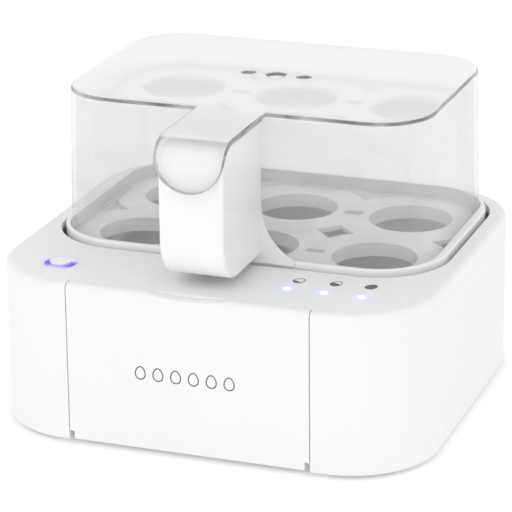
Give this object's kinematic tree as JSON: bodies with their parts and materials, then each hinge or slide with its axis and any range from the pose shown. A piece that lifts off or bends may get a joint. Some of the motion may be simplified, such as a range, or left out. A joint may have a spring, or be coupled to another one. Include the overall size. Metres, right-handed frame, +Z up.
{
  "type": "egg cooker",
  "caption": "Electric egg steamer with a moulded base, steel bowl, lift-out egg rack with handle, clear lid with steam vents, and a fold-down front door.",
  "frame": {"origin": "middle of the base's footprint, on the surface the feet stand on", "axes": "+X to the right seen from the front, +Y to the back, +Z up; the controls, handle and door face -Y"},
  "size_m": [0.185, 0.17, 0.1331],
  "materials": {
    "shell_white": "satin moulded, fine texture",
    "button_white": "polished",
    "carrier_white": "polished",
    "rack_white": "satin",
    "plate_grey": "matt",
    "bay_white": "matt",
    "clear_lid": "clear moulded plastic",
    "clear_cup": "clear moulded plastic",
    "clear_pipe": "clear light pipe",
    "violet_ring": "lit translucent ring",
    "bowl_steel": "drawn stainless steel",
    "silicone": "silicone",
    "foot_rubber": "matt rubber",
    "aluminium": "mill finish",
    "element_steel": "heat-tinted tube",
    "plated_steel": "zinc plated",
    "board_green": "solder mask",
    "part_black": "moulded",
    "part_blue": "moulded",
    "part_yellow": "taped",
    "part_green": "moulded",
    "can_metal": "can",
    "led_white": "epoxy",
    "pricker_plastic": "satin"
  },
  "bodies": {
    "base": {"base_housing": "shell_white", "base_plate": "plate_grey", "base_screws": "plated_steel", "rubber_feet": "foot_rubber", "accessory_bay": "bay_white", "door_magnet": "part_black", "door_hinge_pins": "plated_steel", "heating_bowl": "bowl_steel", "bowl_gasket": "silicone", "bowl_pads": "silicone", "heat_spreader": "aluminium", "heating_element": "element_steel", "element_terminals": "plated_steel", "thermostat": "part_black", "thermostat_bracket": "plated_steel", "thermal_fuse": "can_metal", "heat_shield": "aluminium", "control_board": "board_green", "indicator_leds": "led_white", "indicator_light_pipes": "clear_pipe", "microcontroller": "part_black", "buzzer": "part_black", "button_board": "board_green", "board_screws": "plated_steel", "button_light_ring": "violet_ring", "tact_switch": "part_black", "button_dome": "plated_steel", "power_board": "board_green", "relay": "part_blue", "transformer": "part_yellow", "capacitor": "can_metal", "terminal_block": "part_green", "power_board_screws": "plated_steel", "cord_gland": "part_black"},
    "carrier": {"carrier_frame": "carrier_white", "handle_cover": "carrier_white", "handle_screws": "plated_steel", "egg_rack": "rack_white"},
    "lid": {"lid_shell": "clear_lid"},
    "door": {"front_door": "shell_white", "door_striker": "plated_steel", "door_tray": "bay_white", "measuring_cup": "clear_cup", "egg_pricker": "pricker_plastic", "pricker_needle": "plated_steel"},
    "button": {"power_button": "button_white"}
  },
  "joints": [
    {"name": "carrier_lift", "type": "slide", "parent": "base", "child": "carrier", "axis": [0, 0, 1], "range_m": [0, 0.09]},
    {"name": "lid_lift", "type": "slide", "parent": "carrier", "child": "lid", "axis": [0, 0, 1], "range_m": [0, 0.08]},
    {"name": "door_hinge", "type": "hinge", "parent": "base", "child": "door", "pos_m": [0, -0.0815, 0.005], "axis": [1, 0, 0], "range_deg": [0, 85]},
    {"name": "power_button_press", "type": "slide", "parent": "base", "child": "button", "axis": [0, 0, -1], "range_m": [0, 0.0008], "stiffness_N_per_m": 600, "springref_m": -0.001, "deforming": ["button_dome"]}
  ]
}
